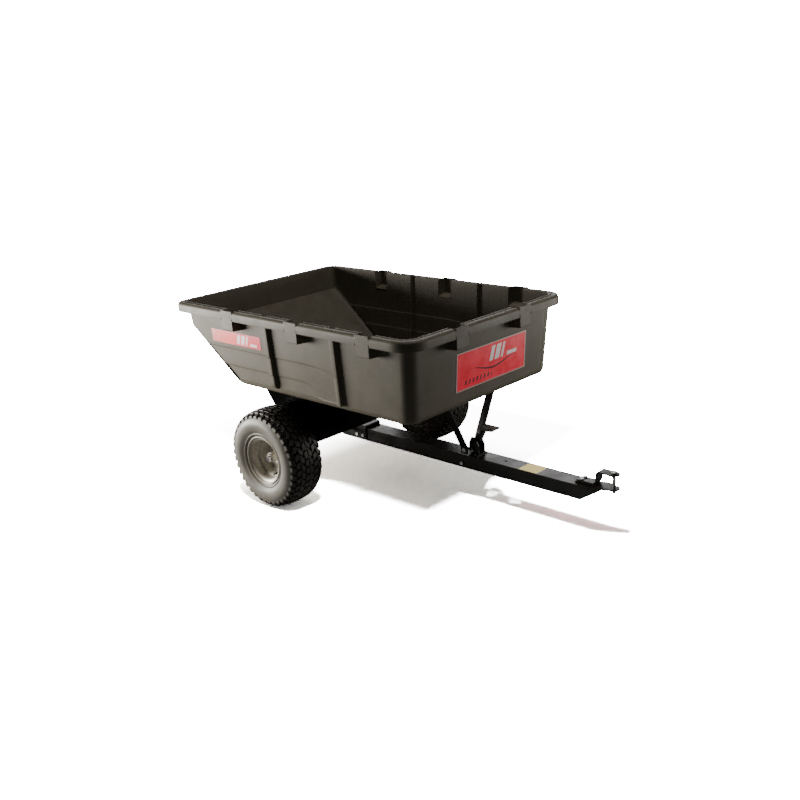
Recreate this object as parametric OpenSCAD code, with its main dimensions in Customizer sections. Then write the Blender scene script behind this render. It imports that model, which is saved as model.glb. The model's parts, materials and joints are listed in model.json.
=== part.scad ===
// Tow behind cart: a poly tub that tips about its axle, on two turf wheels, with a drawbar,
// a foot-pedal tub latch and a clevis hitch. Millimetres. +X is forward to the hitch, +Y left, +Z up.

/* [Tub] */
// Length over the rim
tub_l = 1298; // [1200:1:1400]
// Width over the rim
tub_w = 880; // [820:1:940]
// Height of the rim top above the ground
rim_z = 727; // [700:1:760]
// Height of the underside of the tub floor
floor_z = 420; // [405:1:430]
// Width of the tub floor
floor_w = 776; // [740:1:800]
// Wall thickness of the moulding
wall = 5; // [4:0.5:7]
// Depth of the rolled rim
rim_drop = 36; // [28:1:45]
// Distance from the axle to the rear of the rim
rear_reach = 566; // [520:1:600]

/* [Wheels] */
// Outside diameter of the tyres
tyre_d = 381; // [370:1:390]
// Width of the tyres
tyre_w = 163; // [150:1:170]
// Distance between the wheel centres
track = 866; // [860:1:900]
// Diameter of the axle
axle_d = 19; // [16:0.5:20]

/* [Drawbar] */
// Width of the drawbar
bar_w = 74; // [60:1:80]
// Height of the drawbar
bar_h = 52; // [48:1:56]
// Height of the top of the drawbar above the ground
bar_top = 197; // [194:1:200]
// Distance from the axle to the hitch pin
hitch_x = 1210; // [1190:1:1260]
// Diameter of the hitch pin
pin_d = 12.7; // [12:0.1:14]

/* [Latch] */
// Distance from the axle to the latch straps
latch_x = 600; // [580:1:610]
// Width of the latch straps
strap_w = 32; // [24:1:40]
// Length of the foot pedal pad
pad_l = 64; // [50:1:70]

/* [Hidden] */
$fn = 48;
eps = 0.01;

tub_front = tub_l - rear_reach;             // rim front, ahead of the axle
axle_z = tyre_d / 2;
axle_r = axle_d / 2;
run_fit = 0.08;                             // radial running clearance on a shaft
wheel_y = track / 2;

// The tub's side profile
floor_rear = -250;
floor_front = 672;
knee_z = 630;                               // where the rear slope meets the upright rear band
knee_x = -515;
rim_w = 35;                                 // width of the rolled rim
skirt_t = 4;
band_rear = rim_w - rear_reach;             // rear wall, inside the rim
band_front = tub_front - rim_w;
band_half = tub_w / 2 - rim_w;
rim_front_r = 85;                           // plan corners of the rim
rim_rear_r = 58;
wall_front_r = 45;                          // upright corners of the walls
wall_rear_r = 28;
edge_radius = 20;                           // edge between floor and walls

// Stake pockets and divider ribs
pocket_w = 68;
pocket_xs = [-211, 156, 518];
pocket_ys = [-175, 175];
pocket_foot = 652;
rib_w = 26;
rib_proud = 15;
rib_xs = [-22, 341];
rib_foot = 434;

// Decals, on the front wall and the side walls
decal_y = -159;
decal_z = 480;
decal_w = 393;
decal_h = 142;
side_decal_x = -373;
side_decal_z = 583;
side_decal_w = 300;
side_decal_h = 53;

// Drawbar and frame
bar_rear = -50;
bar_nose = 1100;                            // where the sides are cut back
bar_tip = 1176;
bar_wall = 3.5;
saddle_t = 5;
saddle_front = 86;
saddle_gap = 0.4;
hole_xs = [662, 762];
hole_r = 5.5;
saddle_bolt_xs = [36, 70];
saddle_bolt_z = 166;
saddle_bolt_r = 4;
cross_bolt_x = 586;
cross_bolt_z = 162;
cross_bolt_r = 4;
label_x = 842;
label_l = 80;
skin_t = 0.6;                               // thickness of the decals and the label

// Pivot brackets
bracket_y = 330;
bracket_t = 5;
bracket_top_rear = -155;
bracket_top_front = 158;
bracket_bolts = [for (x = [-128, 2, 132]) [x, bracket_y - 18], [300, bracket_y - 30], [420, bracket_y - 30]];
boss_r = 30;
web_front = 452;
flange_w = 34;
bushing_r = 13;

// Wheels
hub_in = 46;                                // hub ends, from the wheel centre
hub_out = 33;
hub_r = 19;
rim_lip = 93;
rim_half = 66;
bead_r = 78;
rim_t = 3;
axle_half = wheel_y + hub_out + 14;
valve_r = 4;

// Latch
strap_t = 5;
strap_low_y = 37;                           // middle of the strap's foot, from the middle
strap_high_y = 134;
strap_bend_z = 226;
strap_foot_z = 201;
striker_z = 216;
striker_r = 5;
stand_rear = 607;
stand_front = 652;
ear_y = 14.5;
ear_t = 4;
pivot_x = 619;
pivot_z = 213;
pivot_r = 5;
lever_half = 9;
pad_x = 687;
pad_z = 309;
pad_w = 50;
stand_bolt_x = 642;
stand_bolt_y = 23.9;
stand_bolt_r = 2.5;

// Clevis
arm_t = 6;
arm_w = 40;
arm_rear = 1070;
arm_front = 1230;
tongue_w = 64;                              // widest part of the lower arm, ahead of the bar
tongue_x = 1184;
arm_rise = 58;                              // height of the upper arm's top above the drawbar
bend_x = 1143;
clip_reach = 52;
clip_z = bar_top - 5.5;
clevis_bolt_x = 1092;
clevis_bolt_y = 11;
clevis_bolt_r = 4;

rear_end = -rear_reach;
front_end = arm_front;
x_shift = -(rear_end + front_end) / 2;      // puts the origin under the middle of the cart

function front_at(z) = floor_front + (z - floor_z) * (band_front - floor_front) / (rim_z - floor_z);
function half_at(z) = floor_w / 2 + (z - floor_z) * (band_half - floor_w / 2) / (rim_z - floor_z);
function slope_x(z) = floor_rear + (z - floor_z) * (knee_x - floor_rear) / (knee_z - floor_z);
function arc(cx, cy, r, a0, a1, n = 8) =
    [for (i = [0:n]) [cx + r * cos(a0 + (a1 - a0) * i / n), cy + r * sin(a0 + (a1 - a0) * i / n)]];

module at_axle() { translate([x_shift, 0, 0]) children(); }
module both_sides() { children(); mirror([0, 1, 0]) children(); }
module across(r, half) { rotate([90, 0, 0]) cylinder(r = r, h = 2 * half, center = true); }
module side_view(y0, y1) { translate([0, y1, 0]) rotate([90, 0, 0]) linear_extrude(y1 - y0) children(); }
module front_view(x0, x1) {
    translate([x0, 0, 0]) rotate([90, 0, 90]) linear_extrude(x1 - x0) children();
}

// A bolt along +Z with its head at the top: shank from z = 0 down, washer and nut below the grip
module bolt(r, grip, head = 4, nut = 5) {
    translate([0, 0, -grip - nut - 3]) cylinder(r = r, h = grip + nut + 3 + eps);
    cylinder(r = 1.9 * r, h = head, $fn = 6);
    translate([0, 0, -grip - nut]) cylinder(r = 1.9 * r, h = nut, $fn = 6);
}

// ---- Frame ----

module bar_profile() {
    polygon([
        [bar_rear, bar_top], [bar_rear, bar_top - bar_h], [bar_nose, bar_top - bar_h],
        [bar_tip, bar_top - 4], [bar_tip, bar_top]
    ]);
}

module drawbar() {
    notch_r = axle_r + 1.5;
    color([0.16, 0.16, 0.14]) at_axle() difference() {
        side_view(-bar_w / 2, bar_w / 2) bar_profile();
        side_view(bar_wall - bar_w / 2, bar_w / 2 - bar_wall)
            translate([0, -bar_wall]) polygon([
                [bar_rear - 1, bar_top], [bar_rear - 1, 0], [bar_tip + 1, 0], [bar_tip + 1, bar_top]
            ]);
        // Open seat for the axle
        translate([0, 0, axle_z]) across(notch_r, bar_w);
        translate([-notch_r, -bar_w, axle_z]) cube([2 * notch_r, 2 * bar_w, 50]);
        for (x = hole_xs) translate([x, 0, bar_top - 20]) cylinder(r = hole_r, h = 40);
        for (y = [-1, 1] * clevis_bolt_y) translate([clevis_bolt_x, y, bar_top - 20])
            cylinder(r = clevis_bolt_r, h = 40);
        for (x = saddle_bolt_xs) translate([x, 0, saddle_bolt_z]) across(saddle_bolt_r, bar_w);
        translate([cross_bolt_x, 0, cross_bolt_z]) across(cross_bolt_r, bar_w);
        for (y = [-1, 1] * stand_bolt_y) translate([stand_bolt_x, y, bar_top - 20])
            cylinder(r = stand_bolt_r, h = 40);
    }
}

module axle_saddle() {
    inner = bar_w / 2 + saddle_gap;
    top = axle_z + axle_r + 5;
    foot = bar_top - bar_h + 4;
    color([0.13, 0.13, 0.12]) at_axle() difference() {
        translate([bar_rear, -inner - saddle_t, foot])
            cube([saddle_front - bar_rear, 2 * (inner + saddle_t), top + saddle_t - foot]);
        translate([bar_rear - 1, -inner, 0]) cube([saddle_front - bar_rear + 2, 2 * inner, top]);
        translate([0, 0, axle_z]) across(axle_r + run_fit, bar_w);
        for (x = saddle_bolt_xs) translate([x, 0, saddle_bolt_z]) across(saddle_bolt_r, bar_w);
        translate([0, 0, axle_z]) cylinder(r = saddle_bolt_r, h = 50);
    }
}

module saddle_bolts() {
    half = bar_w / 2 + saddle_gap + saddle_t;
    color("silver") at_axle() {
        for (x = saddle_bolt_xs)
            translate([x, -half, saddle_bolt_z]) rotate([90, 0, 0]) bolt(saddle_bolt_r, 2 * half);
        translate([0, 0, axle_z + axle_r + 5 + saddle_t]) bolt(saddle_bolt_r, 2 * axle_r + 12);
    }
}

module axle() {
    color([0.45, 0.45, 0.44]) at_axle() translate([0, 0, axle_z]) difference() {
        across(axle_r, axle_half);
        cylinder(r = saddle_bolt_r, h = 60, center = true);
        for (side = [-1, 1]) translate([0, side * (axle_half - 6), 0])
            cylinder(r = 2, h = 60, center = true);
    }
}

module on_axle(y0, y1, r0, r1) {
    translate([0, y1, axle_z]) rotate([90, 0, 0]) difference() {
        cylinder(r = r1, h = y1 - y0);
        translate([0, 0, -1]) cylinder(r = r0, h = y1 - y0 + 2);
    }
}

module axle_spacers() {
    color([0.2, 0.2, 0.19]) at_axle() both_sides()
        on_axle(bracket_y + bracket_t / 2 + 4.2, wheel_y - hub_in - 0.5, axle_r + run_fit, 14);
}

module axle_washers() {
    color("silver") at_axle() both_sides() {
        on_axle(wheel_y + hub_out + 0.5, wheel_y + hub_out + 3, axle_r + run_fit, 17);
        on_axle(bracket_y - bracket_t / 2 - 8, bracket_y - bracket_t / 2 - 5, axle_r + run_fit, 19);
    }
}

module cotter_pins() {
    color("silver") at_axle() both_sides() translate([0, axle_half - 6, axle_z]) {
        cylinder(r = 1.7, h = 2 * axle_r + 12, center = true);
        translate([0, 0, axle_r + 6]) sphere(r = 3.4);
    }
}

// ---- Latch on the drawbar ----

module latch_stand() {
    ear_out = ear_y + ear_t;
    color([0.1, 0.1, 0.1]) at_axle() difference() {
        union() {
            translate([stand_rear + 8, -30, bar_top + 0.3]) cube([stand_front - stand_rear - 8, 60, 4]);
            both_sides() side_view(ear_y, ear_out) polygon([
                [stand_rear, bar_top + 5.5], [stand_front, bar_top + 0.3], [stand_front, bar_top + 38],
                [stand_front - 14, bar_top + 66], [stand_rear + 12, bar_top + 70], [stand_rear, bar_top + 44]
            ]);
        }
        translate([pivot_x, 0, pivot_z]) across(pivot_r + 0.05, 40);
        for (y = [-1, 1] * stand_bolt_y) translate([stand_bolt_x, y, bar_top - 20])
            cylinder(r = stand_bolt_r, h = 40);
    }
}

module latch_stand_bolts() {
    color("silver") at_axle() for (y = [-1, 1] * stand_bolt_y)
        translate([stand_bolt_x, y, bar_top + 4.3]) bolt(stand_bolt_r, 4.3 + bar_wall, 3, 4);
}

module pedal_pin() {
    half = ear_y + ear_t;
    color("silver") at_axle() translate([pivot_x, 0, pivot_z]) {
        across(pivot_r, half + 1);
        translate([0, -half - 0.5, 0]) rotate([90, 0, 0]) cylinder(r = 8, h = 0.8);
        translate([0, half + 1.3, 0]) rotate([90, 0, 0]) cylinder(r = 8, h = 0.8);
    }
}

module cross_bolt() {
    color("silver") at_axle() translate([cross_bolt_x, -bar_w / 2, cross_bolt_z])
        rotate([90, 0, 0]) bolt(cross_bolt_r, bar_w, 6, 6);
}

module drawbar_label() {
    color("gold") at_axle() translate([label_x, 2 - bar_w / 2, bar_top])
        cube([label_l, bar_w - 4, skin_t]);
}

// ---- Hitch ----

module arm_plan(x0, x1) {
    square_len = x1 - x0 - arm_w / 2;
    translate([x0, -arm_w / 2]) square([square_len, arm_w]);
    translate([x1 - arm_w / 2, 0]) circle(r = arm_w / 2);
}

// The lower arm spreads ahead of the drawbar and tapers to the pin
module lower_arm_plan() {
    arm_plan(arm_rear, arm_front);
    polygon([
        [bend_x + 6, -arm_w / 2], [bend_x + 14, -tongue_w / 2], [tongue_x, -tongue_w / 2],
        [arm_front - arm_w / 4, -arm_w / 3], [arm_front - arm_w / 4, arm_w / 3],
        [tongue_x, tongue_w / 2], [bend_x + 14, tongue_w / 2], [bend_x + 6, arm_w / 2]
    ]);
}

module arm_holes() {
    translate([hitch_x, 0, bar_top - 40]) cylinder(r = pin_d / 2 + 0.3, h = 160);
    for (y = [-1, 1] * clevis_bolt_y) translate([clevis_bolt_x, y, bar_top - 20])
        cylinder(r = clevis_bolt_r, h = 40);
}

module clevis_lower_arm() {
    color([0.12, 0.12, 0.11]) at_axle() difference() {
        translate([0, 0, bar_top + 0.1]) linear_extrude(arm_t) lower_arm_plan();
        arm_holes();
    }
}

module clevis_upper_arm() {
    low = bar_top + arm_t + 0.2;
    high = bar_top + arm_rise;
    inner = 8;                              // inside radius of the bends
    foot = 14;
    low_x = bend_x - inner;
    high_x = bend_x + 20;
    outline = concat(
        [[arm_rear + 6, low], [low_x, low]],
        arc(low_x, low + foot + arm_t, foot + arm_t, -90, 0, 5),
        arc(high_x, high - arm_t - inner, inner, 180, 90, 5),
        [[arm_front, high - arm_t], [arm_front, high]],
        arc(high_x, high - arm_t - inner, inner + arm_t, 90, 180, 6),
        arc(low_x, low + foot + arm_t, foot, 0, -90, 5),
        [[arm_rear + 6, low + arm_t]]
    );
    color([0.12, 0.12, 0.11]) at_axle() difference() {
        intersection() {
            side_view(-arm_w / 2, arm_w / 2) polygon(outline);
            linear_extrude(400) arm_plan(arm_rear, arm_front);
        }
        arm_holes();
    }
}

module clevis_bolts() {
    color("silver") at_axle() for (y = [-1, 1] * clevis_bolt_y)
        translate([clevis_bolt_x, y, bar_top + 2 * arm_t + 0.2])
            bolt(clevis_bolt_r, 2 * arm_t + bar_wall + 0.2, 4, 5);
}

module hitch_pin() {
    top = bar_top + arm_rise;
    color("silver") at_axle() translate([hitch_x, 0, 0]) difference() {
        union() {
            translate([0, 0, clip_z - 7]) cylinder(r = pin_d / 2, h = top - clip_z + 8);
            translate([0, 0, top + 0.2]) cylinder(r = 11, h = 5);
            translate([0, 0, top + 5]) cylinder(r1 = 11, r2 = 8, h = 2);
        }
        translate([0, 0, clip_z]) across(1.9, 20);
    }
}

module hitch_clip() {
    wire = 1.6;
    leg = 1.4;
    eye_r = 7.4;
    eye_x = clip_reach - eye_r - wire;
    color("silver") at_axle() translate([hitch_x, 0, clip_z]) rotate([0, 0, 90]) {
        // straight leg through the pin
        translate([-12, 0, 0]) rotate([0, 90, 0]) cylinder(r = leg, h = 12 + eye_x - 2);
        // round eye at the left
        translate([eye_x, eye_r - 0.8, 0]) rotate_extrude() translate([eye_r, 0]) circle(r = wire);
        // sprung leg that hugs the pin from outside
        translate([-12, eye_r + 2, 0]) rotate([0, 90, 0]) cylinder(r = leg, h = 12.8 + eye_x - eye_r);
    }
}

// ---- Tub ----

module disc_ring(z, x0, x1, half, r_rear, r_front) {
    for (side = [-1, 1]) {
        translate([x0 + r_rear, side * (half - r_rear), z]) cylinder(r = r_rear, h = 0.2, $fn = 32);
        translate([x1 - r_front, side * (half - r_front), z]) cylinder(r = r_front, h = 0.2, $fn = 32);
    }
}

// The tub's outer form, or its hollow when inset by the wall thickness
module tub_form(inset, top) {
    base = floor_z + inset;
    e = edge_radius - inset;
    rf = wall_front_r - inset;
    rr = wall_rear_r - inset;
    knee = knee_z + inset / 2;
    hull() {
        for (a = [0, 45, 90]) {
            z = base + e * (1 - cos(a));
            round = e * (1 - sin(a));
            in = round + inset;
            rear = slope_x(z) + 0.6 * round + 1.6 * inset;
            disc_ring(z, rear, front_at(z) - in, half_at(z) - in, rr, rf - round);
        }
        disc_ring(knee, knee_x + inset, front_at(knee) - inset, half_at(knee) - inset, rr, rf);
        disc_ring(top - 0.2, band_rear + inset, front_at(rim_z) - inset, half_at(rim_z) - inset, rr, rf);
    }
}

module rim_plan(inset) {
    rf = rim_front_r - inset;
    rr = rim_rear_r - inset;
    x0 = rear_end + inset;
    x1 = tub_front - inset;
    h = tub_w / 2 - inset;
    translate([x0 + rr, -h]) square([x1 - x0 - rr - rf, 2 * h]);
    translate([x0, rr - h]) square([rr + 1, 2 * (h - rr)]);
    translate([x1 - rf - 1, rf - h]) square([rf + 1, 2 * (h - rf)]);
    for (side = [-1, 1]) {
        translate([x0 + rr, side * (h - rr)]) circle(r = rr);
        translate([x1 - rf, side * (h - rf)]) circle(r = rf);
    }
}

// Section of a stake pocket, looking along the wall: [outward, z], from the wall plane
module pocket_section(inset) {
    polygon([
        [-wall - 12, rim_z + 2 + inset * 4], [rim_w - inset, rim_z + 2 + inset * 4],
        [rim_w - inset, pocket_foot + inset], [-wall - 12, pocket_foot + inset]
    ]);
}

module side_pockets(inset) {
    for (x = pocket_xs) both_sides()
        translate([x, band_half, 0]) front_view(inset - pocket_w / 2, pocket_w / 2 - inset)
            pocket_section(inset);
}

module front_pockets(inset) {
    for (y = pocket_ys) translate([band_front, y, 0])
        side_view(inset - pocket_w / 2, pocket_w / 2 - inset) pocket_section(inset);
}

module divider_ribs(inset) {
    low = rib_foot + inset;
    high = rim_z - 4;
    for (x = rib_xs) both_sides() translate([x, 0, 0]) front_view(inset - rib_w / 2, rib_w / 2 - inset)
        polygon([
            [half_at(low) - wall - 8, low], [half_at(low) + 2 - inset, low],
            [half_at(low + 14) + rib_proud - inset, low + 14],
            [half_at(high) + rib_proud - inset, high + inset * 3],
            [half_at(high) - wall - 8, high + inset * 3]
        ]);
}

module tub() {
    color([0.36, 0.35, 0.31]) at_axle() difference() {
        union() {
            tub_form(0, rim_z);
            translate([0, 0, rim_z - rim_drop]) linear_extrude(rim_drop) rim_plan(0);
            side_pockets(0);
            front_pockets(0);
            divider_ribs(0);
        }
        // underside of the rolled rim, cut away between the pockets
        difference() {
            translate([0, 0, rim_z - rim_drop - 1]) linear_extrude(rim_drop - 4) rim_plan(skirt_t);
            tub_form(0, rim_z);
            side_pockets(0);
            front_pockets(0);
            divider_ribs(0);
        }
        tub_form(wall, rim_z + 1);
        side_pockets(4.5);
        front_pockets(4.5);
        divider_ribs(4.5);
        for (p = bracket_bolts) both_sides() translate([p[0], p[1], floor_z - 20]) cylinder(r = 4.2, h = 60);
        both_sides() translate([latch_x, strap_high_y + 22, floor_z - 20]) cylinder(r = 4.2, h = 60);
    }
}

module pivot_bracket() {
    top = floor_z - 0.2;
    color([0.1, 0.1, 0.1]) at_axle() difference() {
        union() {
            side_view(bracket_y - bracket_t / 2, bracket_y + bracket_t / 2) {
                polygon([
                    [bracket_top_rear, top], [bracket_top_front, top], [bracket_top_front, 352], [84, 288],
                    [boss_r * 0.9, axle_z - boss_r * 0.4], [-boss_r * 0.9, axle_z - boss_r * 0.4],
                    [-42, 256], [bracket_top_rear, top - 14]
                ]);
                translate([0, axle_z]) circle(r = boss_r);
            }
            translate([bracket_top_rear, bracket_y - flange_w, top - bracket_t])
                cube([bracket_top_front - bracket_top_rear, flange_w, bracket_t]);
        }
        translate([0, bracket_y, axle_z]) across(bushing_r + 0.05, 20);
        for (i = [0:2]) translate([bracket_bolts[i][0], bracket_bolts[i][1], floor_z - 20])
            cylinder(r = 4.2, h = 40);
    }
}

module pivot_bracket_left() { pivot_bracket(); }
module pivot_bracket_right() { mirror([0, 1, 0]) pivot_bracket(); }

// Long web that carries the tub floor ahead of the axle, spot welded inside the pivot bracket
module support_web() {
    top = floor_z - 0.2;
    y1 = bracket_y - bracket_t / 2 - flange_w + bracket_t;
    foot = bracket_top_front - 4;
    color([0.14, 0.14, 0.13]) at_axle() difference() {
        union() {
            side_view(y1 - 13, y1 - 9) polygon([
                [28, top - bracket_t - 1], [28, axle_z + 34], [60, axle_z + 16], [90, axle_z + 30],
                [web_front, top - 27], [web_front, top]
            ]);
            translate([foot + 6, y1 - 13, top - 4]) cube([web_front - foot - 6, 36, 4]);
        }
        for (i = [3:4]) translate([bracket_bolts[i][0], bracket_bolts[i][1], floor_z - 20])
            cylinder(r = 4.2, h = 40);
    }
}

module support_web_left() { support_web(); }
module support_web_right() { mirror([0, 1, 0]) support_web(); }

module pivot_bushings() {
    color([0.85, 0.84, 0.8]) at_axle() both_sides() {
        on_axle(bracket_y - bracket_t / 2 - 4, bracket_y + bracket_t / 2 + 4, axle_r + run_fit, bushing_r);
        on_axle(bracket_y + bracket_t / 2 + 0.1, bracket_y + bracket_t / 2 + 3.5, bushing_r - 1, 20);
    }
}

module tub_bolts() {
    color("silver") at_axle() both_sides() for (i = [0:4]) {
        translate([bracket_bolts[i][0], bracket_bolts[i][1], floor_z + wall]) {
            translate([0, 0, 0.1]) cylinder(r = 13, h = 1.6);
            translate([0, 0, 1.7]) bolt(4, wall + bracket_t + 2.4, 3, 5);
        }
    }
}

module latch_strap() {
    half = strap_t / 2;
    top = floor_z - 0.2;
    outline = [
        [strap_low_y - half, strap_foot_z], [strap_low_y + half, strap_foot_z],
        [strap_low_y + half, strap_bend_z - 1], [strap_high_y + half, top - strap_t],
        [strap_high_y + 36, top - strap_t], [strap_high_y + 36, top],
        [strap_high_y - half, top], [strap_low_y - half, strap_bend_z + 1]
    ];
    color([0.17, 0.17, 0.15]) at_axle() difference() {
        front_view(latch_x - strap_w / 2, latch_x + strap_w / 2) polygon(outline);
        translate([latch_x, 0, striker_z]) across(striker_r + 0.05, 40);
        translate([latch_x, strap_high_y + 22, floor_z - 20]) cylinder(r = 4.2, h = 40);
    }
}

module latch_strap_left() { latch_strap(); }
module latch_strap_right() { mirror([0, 1, 0]) latch_strap(); }

module strap_bolts() {
    color("silver") at_axle() both_sides() translate([latch_x, strap_high_y + 22, floor_z + wall]) {
        translate([0, 0, 0.1]) cylinder(r = 13, h = 1.6);
        translate([0, 0, 1.7]) bolt(4, wall + strap_t + 2.4, 3, 5);
    }
}

module striker_pin() {
    half = strap_low_y + strap_t / 2;
    color("silver") at_axle() translate([latch_x, 0, striker_z]) {
        across(striker_r, half + 1);
        translate([0, -half - 0.1, 0]) rotate([90, 0, 0]) cylinder(r = 8, h = 2);
        translate([0, half + 2.1, 0]) rotate([90, 0, 0]) cylinder(r = 8, h = 2);
    }
}

module front_decal() {
    lean = atan((front_at(rim_z) - front_at(floor_z)) / (rim_z - floor_z));
    color([0.8, 0.1, 0.14]) at_axle() translate([front_at(decal_z) + 0.2, decal_y, decal_z])
        rotate([0, lean, 0]) cube([skin_t, decal_w, decal_h]);
}

module side_decals() {
    lean = atan((half_at(rim_z) - half_at(floor_z)) / (rim_z - floor_z));
    color([0.8, 0.1, 0.14]) at_axle() both_sides()
        translate([side_decal_x, half_at(side_decal_z) + 0.2, side_decal_z])
            rotate([-lean, 0, 0]) cube([side_decal_w, skin_t, side_decal_h]);
}

// ---- Wheels ----

module at_wheel(side) {
    at_axle() translate([0, side * wheel_y, axle_z]) rotate([-90 * side, 0, 0]) children();
}

module wheel_axis(side) { at_wheel(side) rotate_extrude($fn = 96) children(); }

module tyre(side) {
    r = tyre_d / 2;
    h = tyre_w / 2;
    tread = arc(r - 30, 38, 30, 0, 56, 5);
    flank = arc(140, h - 42, 42, 48, 132, 6);
    bead = [
        [rim_lip + 4, rim_half - 1], [rim_lip - 6, rim_half - 7], [bead_r + 1, rim_half - 8.5],
        [bead_r + 1, rim_half - 20]
    ];
    cavity = [[96, rim_half - 20], [136, h - 12], [158, h - 22], [r - 16, 36]];
    half = concat(tread, flank, bead, cavity);
    other = [for (i = [len(half) - 1:-1:0]) [half[i][0], -half[i][1]]];
    color([0.17, 0.17, 0.16]) wheel_axis(side) polygon(concat(half, other));
}

module rim(side) {
    t = rim_t;
    outer = [
        [rim_lip, rim_half + 1], [rim_lip - 4, rim_half + 1], [bead_r - 3, rim_half - 4], [bead_r - 3, 34],
        [62, 26], [62, 6], [24, 2], [hub_r + 0.05, 2]
    ];
    back = [
        [hub_r + 0.05, -2], [24, -2], [58, -2], [62, -6], [62, -26], [bead_r - 3, -34],
        [bead_r - 3, 4 - rim_half], [rim_lip - 4, -rim_half - 1], [rim_lip, -rim_half - 1]
    ];
    skin = [
        [rim_lip, 4 - rim_half - t], [bead_r, 8 - rim_half], [bead_r, -32], [62 + t, -24], [62 + t, 24],
        [bead_r, 32], [bead_r, rim_half - 8], [rim_lip, rim_half - 4 + t]
    ];
    color([0.33, 0.33, 0.31]) difference() {
        wheel_axis(side) polygon(concat(outer, back, skin));
        valve_place(side) translate([0, 0, -1]) cylinder(r = valve_r - 0.1, h = 30);
    }
}

module hub(side) {
    color([0.3, 0.3, 0.29]) wheel_axis(side) translate([axle_r + 4, -hub_in + 3])
        square([hub_r - axle_r - 4, hub_in + hub_out - 6]);
}

module hub_bushings(side) {
    in = axle_r + run_fit;
    color("silver") wheel_axis(side) {
        polygon([
            [in, hub_out - 20], [in, hub_out], [18, hub_out], [18, hub_out - 3], [in + 3.8, hub_out - 3],
            [in + 3.8, hub_out - 20]
        ]);
        polygon([
            [in, 20 - hub_in], [in, -hub_in], [18, -hub_in], [18, 3 - hub_in], [in + 3.8, 3 - hub_in],
            [in + 3.8, 20 - hub_in]
        ]);
    }
}

module valve_place(side) {
    at_wheel(side) rotate([0, 0, 50 * side]) translate([66, 0, 27]) children();
}

module valve(side) {
    color([0.1, 0.1, 0.1]) valve_place(side) {
        cylinder(r = valve_r, h = 22);
        translate([0, 0, 21]) cylinder(r = valve_r - 1, h = 10);
    }
}

module tyre_left() { tyre(1); }
module tyre_right() { tyre(-1); }
module rim_left() { rim(1); }
module rim_right() { rim(-1); }
module hub_left() { hub(1); }
module hub_right() { hub(-1); }
module hub_bushings_left() { hub_bushings(1); }
module hub_bushings_right() { hub_bushings(-1); }
module valve_left() { valve(1); }
module valve_right() { valve(-1); }

// ---- Foot pedal ----

module pedal_lever() {
    nose_x = latch_x + striker_r + 1.5;
    color([0.1, 0.1, 0.1]) at_axle() difference() {
        union() {
            side_view(-lever_half, lever_half)
                // hook: stands in front of the striker, with its nose just clear of the striker's path
                polygon([
                    [pivot_x - 9, pivot_z], [pivot_x - 9, striker_z + 9], [nose_x, striker_z + 13],
                    [nose_x, striker_z + 22], [pivot_x + 3, striker_z + 38], [pivot_x + 14, pivot_z]
                ]);
            translate([pivot_x, 0, pivot_z]) across(10, lever_half);
            side_view(-lever_half, lever_half)
                // arm up to the pad
                polygon([
                    [pivot_x, pivot_z + 4], [pivot_x + 9, pivot_z - 2], [pad_x - 18, pad_z - 18],
                    [pad_x + 20, pad_z - 8], [pad_x + 20, pad_z - 4], [pad_x - 24, pad_z - 4]
                ]);
        }
        translate([pivot_x, 0, pivot_z]) across(pivot_r + run_fit, 40);
    }
}

module pedal_pad() {
    color([0.3, 0.3, 0.29]) at_axle() translate([pad_x, 0, pad_z]) {
        translate([-pad_l / 2, -pad_w / 2, -3.9]) cube([pad_l, pad_w, 6]);
        for (i = [-3:3]) translate([i * 9, 0, 2]) across(1.6, pad_w / 2 - 4);
    }
}

// Torsion spring round the pedal pin: one leg on the stand, the other under the pedal arm
module pedal_spring() {
    wire = 1;
    leg = 0.85;
    coil_r = 7.4;
    coil_ys = [10.8, 13.1];
    color("silver") at_axle() translate([pivot_x, 0, pivot_z]) {
        for (y = coil_ys) translate([0, y, 0]) rotate([90, 0, 0]) rotate_extrude()
            translate([coil_r, 0]) circle(r = wire);
        translate([3.7, coil_ys[1], -6.4]) rotate([0, 102, 0]) cylinder(r = leg, h = 15);
        translate([coil_r, coil_ys[0], 0]) rotate([0, 28, 0]) cylinder(r = leg, h = 48);
    }
}

drawbar();
axle_saddle();
saddle_bolts();
axle();
axle_spacers();
axle_washers();
cotter_pins();
latch_stand();
latch_stand_bolts();
pedal_pin();
cross_bolt();
drawbar_label();
clevis_lower_arm();
clevis_upper_arm();
clevis_bolts();
tub();
pivot_bracket_left();
pivot_bracket_right();
support_web_left();
support_web_right();
pivot_bushings();
tub_bolts();
latch_strap_left();
latch_strap_right();
strap_bolts();
striker_pin();
front_decal();
side_decals();
tyre_left();
rim_left();
hub_left();
hub_bushings_left();
valve_left();
tyre_right();
rim_right();
hub_right();
hub_bushings_right();
valve_right();
pedal_lever();
pedal_pad();
pedal_spring();
hitch_pin();
hitch_clip();
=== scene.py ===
"""Looks of a tow behind cart: poly tub, turf wheels, drawbar, tub latch and clevis hitch."""
import json
import math

import bmesh
import bpy
import numpy as np
from mathutils import Matrix, Vector

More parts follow.
